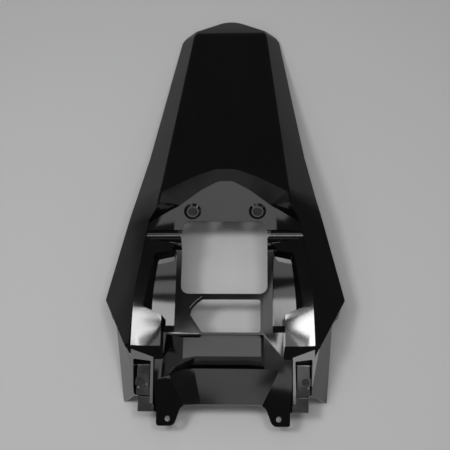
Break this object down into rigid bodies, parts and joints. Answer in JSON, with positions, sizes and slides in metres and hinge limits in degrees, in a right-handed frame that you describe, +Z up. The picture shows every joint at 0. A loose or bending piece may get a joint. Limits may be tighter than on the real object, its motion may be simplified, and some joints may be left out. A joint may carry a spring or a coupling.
{
  "type": "rear mudguard",
  "caption": "One-piece off-road rear mudguard: creased tail with a rounded tip, recessed tray with windows, bolt seats, swept wings, side skirts and front lugs.",
  "frame": {"origin": "under the middle of the piece's box, on the floor that the skirts' lower corners and the tail rest on", "axes": "+X across, +Y along the piece towards the tail, +Z up"},
  "size_m": [0.298, 0.588, 0.0931],
  "materials": {
    "mudguard": "glossy moulded black plastic"
  },
  "bodies": {
    "root": {"mudguard": "mudguard"}
  },
  "joints": []
}
